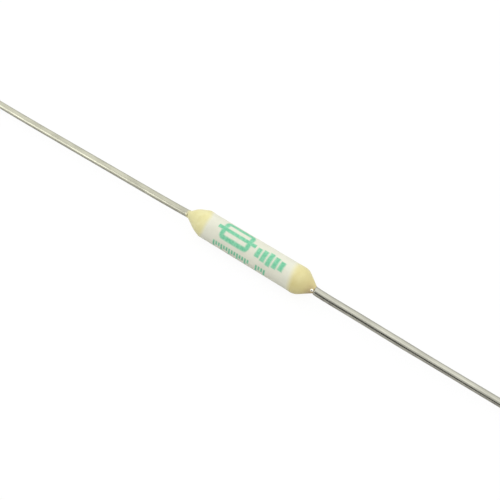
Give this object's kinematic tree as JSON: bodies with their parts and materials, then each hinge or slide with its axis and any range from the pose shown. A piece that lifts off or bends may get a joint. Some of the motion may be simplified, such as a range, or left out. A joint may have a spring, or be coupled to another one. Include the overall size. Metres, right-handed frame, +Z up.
{
  "type": "thermal fuse",
  "caption": "Axial thermal fuse: ceramic tube with a fusible alloy link inside, closed at each end by a resin dome with a tinned wire lead.",
  "frame": {"origin": "middle of the ceramic tube, on its axis", "axes": "+X along the leads towards the right lead, +Z up from the table that the fuse lies on"},
  "size_m": [0.0826, 0.0024, 0.0024],
  "materials": {
    "ceramic": "satin",
    "sealing_resin": "satin",
    "tinned_copper": "satin",
    "low_melting_alloy": "satin",
    "flux": "gloss"
  },
  "bodies": {
    "root": {"ceramic_tube": "ceramic", "end_seal_left": "sealing_resin", "end_seal_right": "sealing_resin", "lead_left": "tinned_copper", "lead_right": "tinned_copper", "fusible_alloy": "low_melting_alloy", "flux_coating": "flux"}
  },
  "joints": []
}
